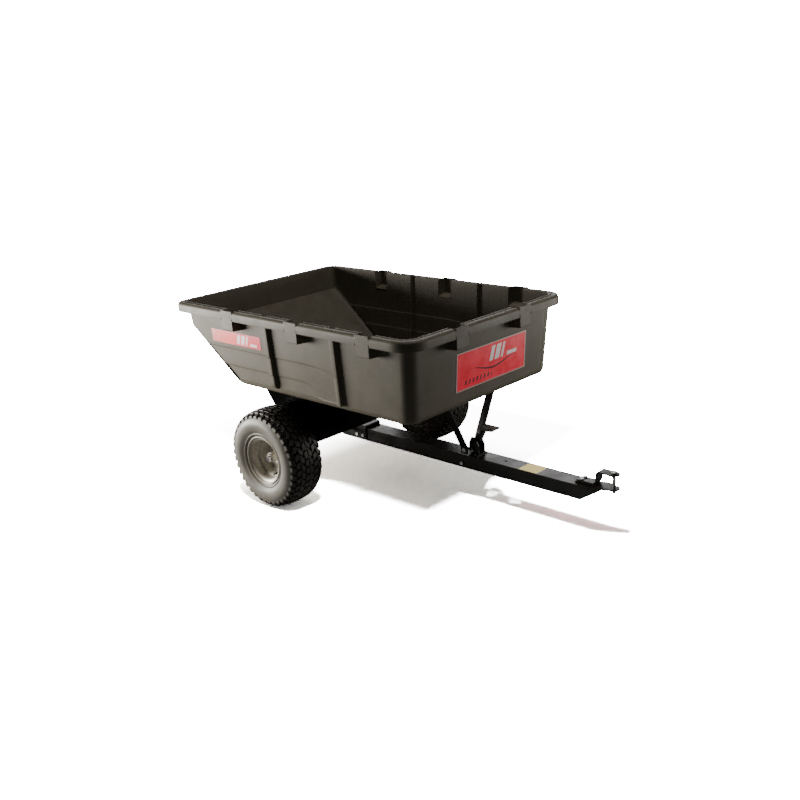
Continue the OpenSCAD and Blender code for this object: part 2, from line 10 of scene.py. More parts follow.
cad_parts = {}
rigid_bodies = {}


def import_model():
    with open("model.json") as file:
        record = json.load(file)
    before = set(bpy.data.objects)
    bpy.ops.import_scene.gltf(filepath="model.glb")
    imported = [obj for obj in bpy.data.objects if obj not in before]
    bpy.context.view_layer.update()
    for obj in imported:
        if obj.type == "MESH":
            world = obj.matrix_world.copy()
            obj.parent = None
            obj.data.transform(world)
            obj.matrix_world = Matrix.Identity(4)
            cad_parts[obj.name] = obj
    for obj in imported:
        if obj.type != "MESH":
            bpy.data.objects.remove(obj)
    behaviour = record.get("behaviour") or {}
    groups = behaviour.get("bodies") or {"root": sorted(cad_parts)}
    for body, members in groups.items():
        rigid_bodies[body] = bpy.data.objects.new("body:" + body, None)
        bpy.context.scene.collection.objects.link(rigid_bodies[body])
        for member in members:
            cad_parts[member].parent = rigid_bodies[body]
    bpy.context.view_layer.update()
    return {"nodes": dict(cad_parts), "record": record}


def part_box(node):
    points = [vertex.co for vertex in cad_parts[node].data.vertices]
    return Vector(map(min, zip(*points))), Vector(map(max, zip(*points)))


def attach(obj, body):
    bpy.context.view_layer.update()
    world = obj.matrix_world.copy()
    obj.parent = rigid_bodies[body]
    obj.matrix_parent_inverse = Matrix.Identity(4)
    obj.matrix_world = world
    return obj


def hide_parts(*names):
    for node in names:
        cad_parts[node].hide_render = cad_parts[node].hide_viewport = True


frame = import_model()
NODES = frame["nodes"]

# Sizes below are in millimetres from the ground under the axle, as in the part's own drawing.
MM = 0.001
AXLE_X = (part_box("axle")[0].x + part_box("axle")[1].x) / 2
AXLE_Z = (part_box("tyre_right")[0].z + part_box("tyre_right")[1].z) / 2 / MM


# ---- Camera ----

CAMERA_FROM_AXLE = (2.86064, -2.66762, 1.54330)
CAMERA_LENS = 45.37
AZIMUTH, ELEVATION, ROLL = 44.392, 17.918, -3.581


def place_camera():
    azimuth, elevation, roll = math.radians(AZIMUTH), math.radians(ELEVATION), math.radians(ROLL)
    back = Vector((math.sin(azimuth) * math.cos(elevation), -math.cos(azimuth) * math.cos(elevation),
                   math.sin(elevation)))
    right = Vector((math.cos(azimuth), math.sin(azimuth), 0))
    up = back.cross(right)
    across = math.cos(roll) * right + math.sin(roll) * up
    upright = math.cos(roll) * up - math.sin(roll) * right
    data = bpy.data.cameras.new("camera")
    data.lens = CAMERA_LENS
    camera = bpy.data.objects.new("camera", data)
    bpy.context.scene.collection.objects.link(camera)
    turn = Matrix((across, upright, back)).transposed().to_4x4()
    camera.matrix_world = Matrix.Translation(Vector(CAMERA_FROM_AXLE) + Vector((AXLE_X, 0, 0))) @ turn
    bpy.context.scene.camera = camera


place_camera()


# ---- Shader helpers ----

def new_material(name):
    material = bpy.data.materials.new(name)
    material.use_nodes = True
    return material, material.node_tree, material.node_tree.nodes["Principled BSDF"]


def put(tree, kind, **settings):
    node = tree.nodes.new(kind)
    for key, value in settings.items():
        setattr(node, key, value)
    return node


def wire(tree, source, target):
    tree.links.new(source, target)


def feed(tree, node, values):
    """Each value is a number or colour for that socket, or the output that feeds it."""
    for key, value in values.items():
        if isinstance(value, bpy.types.NodeSocket):
            wire(tree, value, node.inputs[key])
        else:
            node.inputs[key].default_value = value
    return node


def object_place(tree):
    return put(tree, "ShaderNodeTexCoord").outputs["Object"]


def object_axes(tree):
    """The three outputs of the place on the object."""
    split = put(tree, "ShaderNodeSeparateXYZ")
    wire(tree, object_place(tree), split.inputs[0])
    return split.outputs


def maths(tree, operation, a, b=0.0, c=0.0, clamp=False):
    node = put(tree, "ShaderNodeMath", operation=operation, use_clamp=clamp)
    return feed(tree, node, {0: a, 1: b, 2: c}).outputs[0]


def blend_colours(tree, factor, a, b, blend="MIX"):
    node = put(tree, "ShaderNodeMix", data_type="RGBA", blend_type=blend)
    feed(tree, node, {0: factor, 6: a, 7: b})
    return node.outputs[2]


def noise(tree, vector, scale, detail=3.0, roughness=0.5):
    node = put(tree, "ShaderNodeTexNoise")
    return feed(tree, node, {"Vector": vector, "Scale": scale, "Detail": detail,
                             "Roughness": roughness}).outputs[0]


def steps(tree, value, low, high):
    """0 below low, 1 above high, smooth between."""
    node = put(tree, "ShaderNodeMapRange", interpolation_type="SMOOTHSTEP")
    return feed(tree, node, {0: value, 1: low, 2: high, 3: 0.0, 4: 1.0}).outputs[0]


def new_group(name, inputs, outputs):
    tree = bpy.data.node_groups.new(name, "ShaderNodeTree")
    for title, kind, value in inputs:
        socket = tree.interface.new_socket(title, in_out="INPUT", socket_type=kind)
        if value is not None:
            socket.default_value = value
    for title, kind in outputs:
        tree.interface.new_socket(title, in_out="OUTPUT", socket_type=kind)
    return tree, tree.nodes.new("NodeGroupInput"), tree.nodes.new("NodeGroupOutput")


FLOAT = "NodeSocketFloat"
WORN_TONE, DUST_TONE = (0.28, 0.27, 0.24, 1), (0.32, 0.29, 0.24, 1)
WEAR_REACH = 0.0022


def edge_wear_group():
    """Mask of worn edges: where a rounded normal leaves the true one, broken up by noise."""
    tree, entry, out = new_group("edge_wear", [("Reach", FLOAT, 0.002), ("Amount", FLOAT, 0.5)],
                                 [("Mask", FLOAT)])
    bevel = put(tree, "ShaderNodeBevel", samples=4)
    wire(tree, entry.outputs["Reach"], bevel.inputs["Radius"])
    true_normal = put(tree, "ShaderNodeNewGeometry")
    dot = put(tree, "ShaderNodeVectorMath", operation="DOT_PRODUCT")
    wire(tree, bevel.outputs[0], dot.inputs[0])
    wire(tree, true_normal.outputs["True Normal"], dot.inputs[1])
    spread = maths(tree, "SUBTRACT", 1.0, dot.outputs["Value"])
    broken = steps(tree, noise(tree, object_place(tree), 90.0, 4.0, 0.65), 0.35, 0.7)
    worn = maths(tree, "MULTIPLY", steps(tree, spread, 0.02, 0.2), broken)
    mask = maths(tree, "MULTIPLY", worn, entry.outputs["Amount"], clamp=True)
    wire(tree, mask, out.inputs["Mask"])
    return tree


def grain_group():
    """Fine moulded grain over a slow mottle: a height for bump, and a value for colour and gloss."""
    tree, entry, out = new_group(
        "surface_grain", [("Fine Scale", FLOAT, 900.0), ("Coarse Scale", FLOAT, 14.0)],
        [("Height", FLOAT), ("Mottle", FLOAT)])
    place = object_place(tree)
    fine = noise(tree, place, entry.outputs["Fine Scale"], 2.0, 0.6)
    coarse = noise(tree, place, entry.outputs["Coarse Scale"], 5.0, 0.6)
    wire(tree, fine, out.inputs["Height"])
    wire(tree, coarse, out.inputs["Mottle"])
    return tree


def dust_group():
    """Pale dust that settles on faces that look up, thinner where noise breaks it."""
    tree, entry, out = new_group("settled_dust", [("Amount", FLOAT, 0.3)], [("Mask", FLOAT)])
    geometry = put(tree, "ShaderNodeNewGeometry")
    split = put(tree, "ShaderNodeSeparateXYZ")
    wire(tree, geometry.outputs["Normal"], split.inputs[0])
    up = steps(tree, split.outputs[2], 0.2, 1.0)
    patchy = steps(tree, noise(tree, object_place(tree), 22.0, 6.0, 0.6), 0.35, 0.75)
    mask = maths(tree, "MULTIPLY", maths(tree, "MULTIPLY", up, patchy), entry.outputs["Amount"], clamp=True)
    wire(tree, mask, out.inputs["Mask"])
    return tree


EDGE_WEAR, GRAIN, DUST = edge_wear_group(), grain_group(), dust_group()


def use_group(tree, group, **values):
    node = put(tree, "ShaderNodeGroup")
    node.node_tree = group
    return feed(tree, node, {k.replace("_", " "): v for k, v in values.items()}).outputs


def add_bump(tree, shader, height, distance, strength):
    bump = put(tree, "ShaderNodeBump")
    feed(tree, bump, {"Height": height, "Distance": distance, "Strength": strength})
    wire(tree, bump.outputs[0], shader.inputs["Normal"])


def moulded(name, colour, light, rough, grain=700.0, bump=0.35, wear=0.0, dust=0.0, metal=0.0, sheen=0.5):
    """A finish with grain, mottle, worn edges and dust, for plastic, paint and rubber."""
    material, tree, shader = new_material(name)
    base = use_group(tree, GRAIN, Fine_Scale=grain, Coarse_Scale=11.0)
    mottle = steps(tree, base["Mottle"], 0.3, 0.7)
    tone = blend_colours(tree, mottle, (*colour, 1), (*light, 1))
    gloss = maths(tree, "MULTIPLY_ADD", mottle, 0.1, rough - 0.05)
    if wear:
        edges = use_group(tree, EDGE_WEAR, Reach=WEAR_REACH, Amount=wear)["Mask"]
        tone = blend_colours(tree, edges, tone, WORN_TONE)
    if dust:
        powder = use_group(tree, DUST, Amount=dust)["Mask"]
        tone = blend_colours(tree, powder, tone, DUST_TONE)
        gloss = maths(tree, "ADD", gloss, maths(tree, "MULTIPLY", powder, 0.4), clamp=True)
    wire(tree, tone, shader.inputs["Base Color"])
    wire(tree, gloss, shader.inputs["Roughness"])
    feed(tree, shader, {"Metallic": metal, "Specular IOR Level": sheen})
    add_bump(tree, shader, base["Height"], 0.0006, bump)
    return material


def plated(name, colour, rough, spangle=45.0):
    """Bright plated or bare steel with a cloudy spangle and fine scratches."""
    material, tree, shader = new_material(name)
    place = object_place(tree)
    cloud = steps(tree, noise(tree, place, spangle, 4.0, 0.6), 0.3, 0.7)
    dark = tuple(0.55 * c for c in colour)
    wire(tree, blend_colours(tree, cloud, (*dark, 1), (*colour, 1)), shader.inputs["Base Color"])
    wire(tree, maths(tree, "MULTIPLY_ADD", cloud, 0.2, rough - 0.1), shader.inputs["Roughness"])
    shader.inputs["Metallic"].default_value = 1.0
    add_bump(tree, shader, noise(tree, place, 1500.0, 2.0, 0.5), 0.0003, 0.25)
    return material


# ---- Mesh helpers ----

def to_row(points):
    """Millimetres from the axle to metres in the row frame."""
    return np.asarray(points, float) * MM + np.array([AXLE_X, 0.0, 0.0])


def mesh_object(name, points, faces, material=None, smooth=True):
    mesh = bpy.data.meshes.new(name)
    mesh.from_pydata([tuple(p) for p in points], [], [tuple(int(i) for i in f) for f in faces])
    mesh.validate()
    obj = bpy.data.objects.new(name, mesh)
    bpy.context.scene.collection.objects.link(obj)
    if material:
        mesh.materials.append(material)
    mesh.polygons.foreach_set("use_smooth", [smooth] * len(mesh.polygons))
    return obj


def outward(obj):
    """Merges doubles and turns every face to the outside."""
    build = bmesh.new()
    build.from_mesh(obj.data)
    bmesh.ops.remove_doubles(build, verts=build.verts, dist=1e-6)
    bmesh.ops.recalc_face_normals(build, faces=build.faces)
    build.to_mesh(obj.data)
    build.free()
    obj.data.update()
    return obj


def crisp(obj, degrees=35):
    """Smooth shading that stays flat on large faces and sharp at hard edges."""
    obj.data.set_sharp_from_angle(angle=math.radians(degrees))
    weighted = obj.modifiers.new("flat_faces", "WEIGHTED_NORMAL")
    weighted.keep_sharp = True
    return obj


def settle(obj, body, slot_name, *nodes):
    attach(obj, body)
    if nodes:
        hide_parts(*nodes)
    return obj


# ---- Tub ----

RIM_TOP, FLOOR, FLOOR_REAR, FLOOR_FRONT = 727.0, 420.0, -250.0, 672.0
KNEE_X, KNEE_Z, RIM_REAR, RIM_FRONT, RIM_HALF = -515.0, 630.0, -566.0, 732.0, 440.0
WALL, RIM_W, FLOOR_HALF = 5.0, 35.0, 388.0
BAND_REAR, BAND_FRONT, BAND_HALF = RIM_REAR + RIM_W, RIM_FRONT - RIM_W, RIM_HALF - RIM_W
POCKET_XS, POCKET_YS, POCKET_HALF, POCKET_FOOT = (-211.0, 156.0, 518.0), (-175.0, 175.0), 34.0, 652.0
RIB_XS, RIB_HALF, RIB_PROUD, RIB_FOOT = (-22.0, 341.0), 13.0, 15.0, 434.0
STEP_IN, SIDE_BLEND = 2.6, 1.6
FOOT_ROUND, INNER_FOOT_ROUND, RIB_TOP_ROUND = 20, 15, 16
REAR_CORNER, FRONT_CORNER, RIM_REAR_CORNER, RIM_FRONT_CORNER, SMALLEST_CORNER = 28, 45, 58, 85, 6

# For each kind of feature: half width, columns over its top as shares of that half, and its flanks as
# (distance out from the edge, share of the feature's height)
FEATURES = {
    "pocket": (POCKET_HALF, (-0.8, -0.45, 0, 0.45, 0.8),
               ((1.4, 0), (0.2, 0.05), (-0.8, 0.5), (-1.4, 0.94), (-3.5, 1))),
    "rib": (RIB_HALF, (-0.4, 0, 0.4), ((1.6, 0), (0.4, 0.08), (-0.8, 0.5), (-2.2, 0.93), (-3.6, 1))),
}


def plain_columns(*places):
    return [(place, "plain", 0.0) for place in places]


def feature_columns(kind, middles):
    """Columns across each pocket or rib: place, kind and share of the feature."""
    half, tops, flanks = FEATURES[kind]
    found = []
    for middle in middles:
        for side in (-1, 1):
            found += [(middle + side * (half + out), kind, share) for out, share in flanks]
        found += [(middle + half * top, kind, 1.0) for top in tops]
    return found


def side_columns():
    """Fixed places along a side wall, rear to front."""
    plain = plain_columns(
        -503, -470, -430, -390, -350, -310, -275, -160, -130, -100, -75, -55, 5, 30, 55, 80, 102, 206, 218,
        226, 231, 234.5, 237, 239, 242, 250, 270, 290, 310, 322, 362, 385, 410, 440, 465, 560, 580, 610, 635)
    return sorted(plain + feature_columns("pocket", POCKET_XS) + feature_columns("rib", RIB_XS))


def front_columns():
    plain = plain_columns(-350, -320, -285, -250, -225, -125, -90, -45, 0,
                          45, 90, 125, 225, 250, 285, 320, 350)
    return sorted(plain + feature_columns("pocket", POCKET_YS))


def wall_ring(z, inset):
    """Plan of the walls at a height: rear, front, half width and the corner radii."""
    up = (z - FLOOR) / (RIM_TOP - FLOOR)
    if z < KNEE_Z:
        rear = FLOOR_REAR + (z - FLOOR) * (KNEE_X - FLOOR_REAR) / (KNEE_Z - FLOOR)
        lean = 1.6
    else:
        rear = KNEE_X + (z - KNEE_Z) * (BAND_REAR - KNEE_X) / (RIM_TOP - KNEE_Z)
        lean = 1.0
    front = FLOOR_FRONT + up * (BAND_FRONT - FLOOR_FRONT)
    half = FLOOR_HALF + up * (BAND_HALF - FLOOR_HALF)
    return (rear + lean * inset, front - inset, half - inset,
            max(REAR_CORNER - inset, SMALLEST_CORNER), max(FRONT_CORNER - inset, SMALLEST_CORNER))


def rim_ring(inset):
    return (RIM_REAR + inset, RIM_FRONT - inset, RIM_HALF - inset,
            max(RIM_REAR_CORNER - inset, SMALLEST_CORNER), max(RIM_FRONT_CORNER - inset, SMALLEST_CORNER))


UPPER_STEP_END, LOWER_STEP_END, STEP_FOOT, STEPS_TOP = 334, 238, 441, 640


def upper_step(x):
    return np.interp(x, [-400, 145, 200, 251, 297, 328], [566, 566, 565, 562, 555, 548])


def lower_step(x):
    return np.interp(x, [-400, 135, 160, 188, 210, 229, 235, 238, 240],
                     [495, 495, 492, 485, 476, 463, 452, 444, 441])


def panel_inset(x, z):
    """How far the side wall is stepped in below the two contour lines."""
    def fall(value, width):
        t = np.clip((value + width) / (2 * width), 0, 1)
        return t * t * (3 - 2 * t)
    upper = fall(upper_step(x) - z, SIDE_BLEND) * fall(UPPER_STEP_END - x, 4)
    lower = fall(lower_step(x) - z, SIDE_BLEND) * fall(LOWER_STEP_END - x, SIDE_BLEND)
    return STEP_IN * (upper + lower) * fall(z - STEP_FOOT, 3)


def stretch(column_x, low, high, low_now, high_now, pin_low, pin_high):
    """Keeps a column where it is between the pins, and fans the others in to the wall's ends."""
    if column_x < pin_low:
        return pin_low + (column_x - pin_low) * (low_now - pin_low) / (low - pin_low)
    if column_x > pin_high:
        return pin_high + (column_x - pin_high) * (high_now - pin_high) / (high - pin_high)
    return column_x


# Heights of the wall rows; the close ones follow the contour lines and the pocket's foot
WALL_ROWS = [441, 444, 450, 460, 472, 484, 492.6, 494.2, 495.8, 497.4, 512, 530, 548, 563.6, 565.2, 566.8,
             568.4, 584, 602, 618, 630, 640, 647, 651, 653, 654.5, 657, 666, 678, 690]
LIP_ROUND = [(12 - 12 * math.cos(math.radians(a)), 715 + 12 * math.sin(math.radians(a)))
             for a in (15, 32, 50, 68, 90)]


def foot_row(floor, inset, radius, angle):
    """One row of the round between the floor and the walls."""
    rise, run = 1 - math.cos(math.radians(angle)), 1 - math.sin(math.radians(angle))
    return [(floor + radius * rise, "wall", inset + radius * run)] * 3


def rib_height(z, foot):
    """How far a divider rib stands out at a height, rounded off towards its foot."""
    rise = min(max((z - foot) / RIB_TOP_ROUND, 0), 1)
    return RIB_PROUD * math.sqrt(1 - (1 - rise) ** 2)


def outer_rows():
    """Rows of the outside, floor to lip: (z, ring, inset) for a plain, a rib and a pocket column."""
    rows = [foot_row(FLOOR, 0.0, FOOT_ROUND, angle) for angle in (0, 22, 45, 68, 90)]
    for z in WALL_ROWS:
        proud = rib_height(z, RIB_FOOT + 8)
        pocket = (z, "rim", 1.2 if z < 654 else 0.0) if z >= 652 else (min(z, POCKET_FOOT), "wall", 0.0)
        rows.append([(z, "wall", 0.0), (z, "wall", -proud), pocket])
    return rows


def on_rim(*places):
    return [(z, "rim", inset) for z, inset in places]


def lip_rows():
    """Rows round the rolled rim, from the top of the wall out, over the lip and back in."""
    under = [(712, "wall", 0.0)] + on_rim((720, 33.0), (722, 29.0), (722, 8.0), (719, 4.6), (695, 4.0),
                                          (691.6, 3.4), (691, 2.0), (691.6, 0.5), (694, 0.0), (708, 0.0))
    under += [(z, "rim", inset) for inset, z in LIP_ROUND]
    top = on_rim((727, 17.0), (726.8, 20.5), (725.2, 23.0), (724.8, 25.5), (725.2, 28.0), (727, 30.5),
                 (728, 33.5), (727.6, 37.0), (726, 39.2), (722, 40.0))
    rib = [(712, "wall", -RIB_PROUD), (720, "wall", -RIB_PROUD)] + under[2:]
    rib += on_rim((727, 14.0), (727, 16.0), (726.9, 18.0), (726.7, 20.0), (726.4, 21.5), (726, 22.8),
                  (725, 24.0), (723.5, 24.7), (721, 25.0), (718, 25.0))
    foot, rise = WALL_ROWS[-1], RIM_TOP - WALL_ROWS[-1]
    pocket = on_rim(*[(foot + rise * (i + 1) / len(under), 0.0) for i in range(len(under))])
    pocket += on_rim((728.2, 0.3), (728.8, 1.0), (729, 2.2), (728.8, 3.6), (728, 4.4), (726, 4.5),
                     (723, 4.5), (720, 4.5), (717, 4.5), (714, 4.5))
    return [list(row) for row in zip(under + top, rib, pocket)]


def inner_rows():
    rows = []
    for z in (712, 702) + tuple(reversed(WALL_ROWS)):
        proud = rib_height(z, RIB_FOOT + 13)
        pocket = (z, "rim", 4.5) if z > 658 else (min(z, 657.5), "wall", 6.5 if z > 653.5 else WALL)
        rows.append([(z, "wall", WALL), (z, "wall", WALL - proud), pocket])
    rows += [foot_row(FLOOR + WALL, WALL, INNER_FOOT_ROUND, angle) for angle in (75, 50, 25, 0)]
    return rows


def warped(z, x):
    """Moves the rows on a side wall so that they follow the contour lines."""
    if not STEP_FOOT < z < STEPS_TOP:
        return z
    return float(np.interp(z, [STEP_FOOT, 495, 566, STEPS_TOP],
                           [STEP_FOOT, lower_step(x), upper_step(x), STEPS_TOP]))


def build_tub(material):
    sides, fronts = side_columns(), front_columns()
    rears = [(y, "plain", 0.0) for y in np.linspace(-1, 1, 15)]
    plan = [("right", c) for c in sides] + [("front_right", a) for a in np.linspace(-90, 0, 11)]
    plan += [("front", c) for c in fronts] + [("front_left", a) for a in np.linspace(0, 90, 11)]
    plan += [("left", c) for c in reversed(sides)] + [("rear_left", a) for a in np.linspace(90, 180, 9)]
    plan += [("rear", c) for c in reversed(rears)] + [("rear_right", a) for a in np.linspace(180, 270, 9)]
    rows = outer_rows() + lip_rows() + inner_rows()

    def spot(part, column, spec):
        z, ring, inset = spec
        rear, front, half, rear_r, front_r = wall_ring(z, inset) if ring == "wall" else rim_ring(inset)
        if part in ("right", "left"):
            sign = -1 if part == "right" else 1
            x = stretch(column[0], -503, 652, rear + rear_r, front - front_r, -60, 560)
            if ring == "wall":
                z = warped(z, x)
                rear, front, half, rear_r, front_r = wall_ring(z, inset)
                half -= panel_inset(x, z)
            return x, sign * half, z
        if part == "front":
            return front, stretch(column[0], -360, 360, front_r - half, half - front_r, -212, 212), z
        if part == "rear":
            return rear, column[0] * (half - rear_r), z
        angle = math.radians(column)
        radius = front_r if part.startswith("front") else rear_r
        cx = front - radius if part.startswith("front") else rear + radius
        cy = (half - radius) * (1 if part.endswith("left") else -1)
        return cx + radius * math.cos(angle), cy + radius * math.sin(angle), z

    points = []
    for row in rows:
        for part, column in plan:
            kind, share = (column[1], column[2]) if isinstance(column, tuple) else ("plain", 0.0)
            here = np.array(spot(part, column, row[0]))
            if share:
                other = np.array(spot(part, column, row[1 if kind == "rib" else 2]))
                here = here + share * (other - here)
            points.append(here)
    count, faces = len(plan), []
    for r in range(len(rows) - 1):
        for c in range(count):
            a, b = r * count + c, r * count + (c + 1) % count
            faces.append((a, b, b + count, a + count))
    faces.append(list(reversed(range(count))))
    faces.append([(len(rows) - 1) * count + c for c in range(count)])
    tub = mesh_object("tub_shell", to_row(points), faces, material)
    return crisp(outward(tub), 40)


# ---- Wheels ----

WHEEL_Y = 433.0

# Lathe outlines from the wheel's centre, as (radius, distance towards the outer face)
CROWN = [(184.5, 0), (184.2, 14), (183.2, 28), (181.4, 42), (178.4, 54), (174.2, 63), (169, 69.2),
         (163, 73.8), (155, 78), (147, 80.6), (139, 81.4)]
SIDEWALL = [(130, 80.8), (122, 78.8), (115, 75.6), (110, 72.4), (107, 71.6), (105.2, 72.6), (103.4, 72.4),
            (101.6, 70.4), (99, 67.4), (96.4, 65.8), (94.6, 64.6), (91, 61.6), (85.5, 60), (80.6, 58.8)]
TYRE_INSIDE = [(79.2, 56), (79, 48), (88, 44), (110, 46), (140, 50), (160, 42), (170, 20), (171, 0)]
CARCASS = CROWN + SIDEWALL + TYRE_INSIDE
DISH = [(19.2, 2), (24, 2.2), (28, 4.4), (33, 4.6), (38, 2.8), (50, 2.3), (56, 2.6), (59.6, 4.4), (61.6, 8),
        (62.3, 14), (62.8, 22), (64.4, 27), (67.6, 30.4), (71.6, 32.8), (74.2, 36), (75, 41), (75.3, 50)]
RIM_LIP = [(76.2, 55), (78.4, 58.4), (82, 60.4), (85.6, 62), (87.8, 64.2), (88.8, 66.4), (90, 67.9),
           (91.6, 68.4), (93.1, 67.8), (93.9, 66.4), (93.8, 64.6), (93, 63.4), (88, 61), (83, 58.6)]
RIM_INSIDE = [(79.4, 56.6), (78.4, 54), (78.2, 40), (77, 34), (73, 30.6), (67.6, 27.4), (65.4, 23),
              (65, 12), (65, 0)]
RIM_FACE = DISH + RIM_LIP + RIM_INSIDE
TREAD_PITCHES, TREAD_RADIUS = 38, 184.0

# Blocks on one side of the tread: middle, half width, place round the tyre, length, skew
TREAD_BLOCKS = ((9.5, 8.0, 0, 22, 3.5), (30.0, 8.6, 15.5, 21, -4.0), (50.0, 8.0, 2, 22, 4.0),
                (66.5, 6.6, 16, 17, -2.0))


def lathe(name, outline, turns, material, hand):
    """Turns a closed outline about the wheel's axle."""
    points, faces, count = [], [], len(outline)
    for step in range(turns):
        angle = 2 * math.pi * step / turns
        for radius, out in outline:
            across = hand * (WHEEL_Y + out)
            points.append((radius * math.sin(angle), across, AXLE_Z + radius * math.cos(angle)))
    for step in range(turns):
        after = (step + 1) % turns
        for i in range(count):
            j = (i + 1) % count
            faces.append((step * count + i, step * count + j, after * count + j, after * count + i))
    return outward(mesh_object(name, to_row(points), faces, material))


def both_faces(outline):
    """The outline of one face, then its mirror image, as one closed outline."""
    return outline + [(r, -out) for r, out in reversed(outline) if out > 0]


def tread_block(points, faces, centre, half, along, length, skew, base, top):
    """One tapered block. Along and length run round the tyre, centre and half across it."""
    first = len(points)
    for grow, lift in ((1.2, 0.0), (0.2, 0.82), (-1.1, 1.0)):
        for side in (-1, 1):
            for end in (-1, 1):
                out = centre + side * (half + grow)
                run = along + end * (length / 2 + grow) + side * skew
                inner, crown = base(out) - 1.5, top(out)
                radius = inner + (crown - inner) * lift
                angle = run / TREAD_RADIUS
                points.append((radius * math.sin(angle), out, radius * math.cos(angle)))
    for level in (0, 4):
        a = first + level
        for p, q in ((0, 1), (1, 3), (3, 2), (2, 0)):
            faces.append((a + p, a + q, a + q + 4, a + p + 4))
    a = first + 8
    faces.append((a, a + 1, a + 3, a + 2))
    faces.append((first, first + 2, first + 3, first + 1))


def tread_pitch():
    """One pitch of the turf tread, across the whole tyre, about the wheel's own centre."""
    radii, outs = zip(*CROWN)

    def base(out):
        return float(np.interp(abs(out), outs, radii))

    def top(out):
        return float(np.interp(abs(out), [0, 20, 40, 54, 64, 72, 77],
                               [190.4, 190.2, 188.6, 186, 181.4, 174.6, 168]))
    points, faces = [], []
    for side in (-1, 1):
        for centre, half, along, length, skew in TREAD_BLOCKS:
            tread_block(points, faces, side * centre, half, along, length, side * skew, base, top)
    points = np.asarray(points) * MM
    pitch = outward(mesh_object("tread_pitch", points, faces, None, False))
    pitch.hide_render = True
    return pitch


def tread_tree():
    """Sets one pitch of tread round the wheel and joins it to the carcass."""
    tree = bpy.data.node_groups.new("tyre_tread", "GeometryNodeTree")
    for title, kind in (("Carcass", "NodeSocketGeometry"), ("Pitch", "NodeSocketObject"),
                        ("Pitches", "NodeSocketInt"), ("Rubber", "NodeSocketMaterial")):
        tree.interface.new_socket(title, in_out="INPUT", socket_type=kind)
    tree.interface.new_socket("Tyre", in_out="OUTPUT", socket_type="NodeSocketGeometry")
    entry, out = tree.nodes.new("NodeGroupInput"), tree.nodes.new("NodeGroupOutput")
    line = put(tree, "GeometryNodeMeshLine")
    feed(tree, line, {"Count": entry.outputs["Pitches"], "Offset": (0, 0, 0)})
    turn = put(tree, "ShaderNodeMath", operation="DIVIDE")
    feed(tree, turn, {0: put(tree, "GeometryNodeInputIndex").outputs[0], 1: entry.outputs["Pitches"]})
    angle = put(tree, "ShaderNodeMath", operation="MULTIPLY")
    feed(tree, angle, {0: turn.outputs[0], 1: 2 * math.pi})
    spin = put(tree, "ShaderNodeCombineXYZ")
    wire(tree, angle.outputs[0], spin.inputs["Y"])
    shape = put(tree, "GeometryNodeObjectInfo")
    wire(tree, entry.outputs["Pitch"], shape.inputs["Object"])
    ring = put(tree, "GeometryNodeInstanceOnPoints")
    feed(tree, ring, {"Points": line.outputs[0], "Instance": shape.outputs["Geometry"],
                      "Rotation": spin.outputs[0]})
    real = put(tree, "GeometryNodeRealizeInstances")
    wire(tree, ring.outputs[0], real.inputs[0])
    join = put(tree, "GeometryNodeJoinGeometry")
    wire(tree, entry.outputs["Carcass"], join.inputs[0])
    wire(tree, real.outputs[0], join.inputs[0])
    paint = put(tree, "GeometryNodeSetMaterial")
    feed(tree, paint, {"Geometry": join.outputs[0], "Material": entry.outputs["Rubber"]})
    wire(tree, paint.outputs[0], out.inputs[0])
    return tree


def fixed_mesh(obj, tree, settings, name):
    """Runs a geometry tree on obj once and keeps the result as a plain mesh. Inputs are set by socket."""
    grow = obj.modifiers.new("grow", "NODES")
    sockets = {s.name: s.identifier for s in tree.interface.items_tree if s.in_out == "INPUT"}
    grow.node_group = tree
    for title, value in settings.items():
        grow[sockets[title]] = value
    bpy.context.view_layer.update()
    grown = obj.evaluated_get(bpy.context.evaluated_depsgraph_get())
    mesh = bpy.data.meshes.new_from_object(grown)
    obj.modifiers.remove(grow)
    bpy.data.objects.remove(obj)
    made = bpy.data.objects.new(name, mesh)
    bpy.context.scene.collection.objects.link(made)
    return made


def build_wheels(rubber, paint):
    pitch, tree = tread_pitch(), tread_tree()
    for side, hand in (("left", 1), ("right", -1)):
        carcass = lathe("carcass", both_faces(CARCASS), 120, rubber, 1)
        centre = np.array([AXLE_X, WHEEL_Y * MM, AXLE_Z * MM])
        carcass.data.transform(Matrix.Translation(-Vector(centre)))
        settings = {"Pitch": pitch, "Pitches": TREAD_PITCHES, "Rubber": rubber}
        tyre = fixed_mesh(carcass, tree, settings, "tyre_shell_" + side)
        place = Matrix.Translation((AXLE_X, hand * WHEEL_Y * MM, AXLE_Z * MM))
        tyre.data.transform(place @ Matrix.Diagonal((1, hand, 1, 1)))
        if hand < 0:
            tyre.data.flip_normals()
        settle(crisp(tyre, 32), "wheel_" + side, "tyre_rubber", "tyre_" + side)
        rim = lathe("rim_shell_" + side, both_faces(RIM_FACE), 96, paint, hand)
        settle(crisp(rim, 45), "wheel_" + side, "rim_paint", "rim_" + side)
    bpy.data.objects.remove(pitch)


# ---- Printed skins ----

def band(tree, value, low, high, soft=0.004):
    """1 between low and high."""
    rise = steps(tree, value, low - soft, low + soft)
    fall = steps(tree, value, high + soft, high - soft)
    return maths(tree, "MULTIPLY", rise, fall)


def both(tree, a, b):
    return maths(tree, "MULTIPLY", a, b)


def either(tree, *masks):
    found = masks[0]
    for mask in masks[1:]:
        found = maths(tree, "MAXIMUM", found, mask)
    return found


def skin_axes(tree, node, along, up):
    """Place along and up a skin, both from 0 to 1 over the node's box."""
    low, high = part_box(node)
    axes = object_axes(tree)
    return [maths(tree, "DIVIDE", maths(tree, "SUBTRACT", axes[i], low[i]), high[i] - low[i])
            for i in (along, up)]


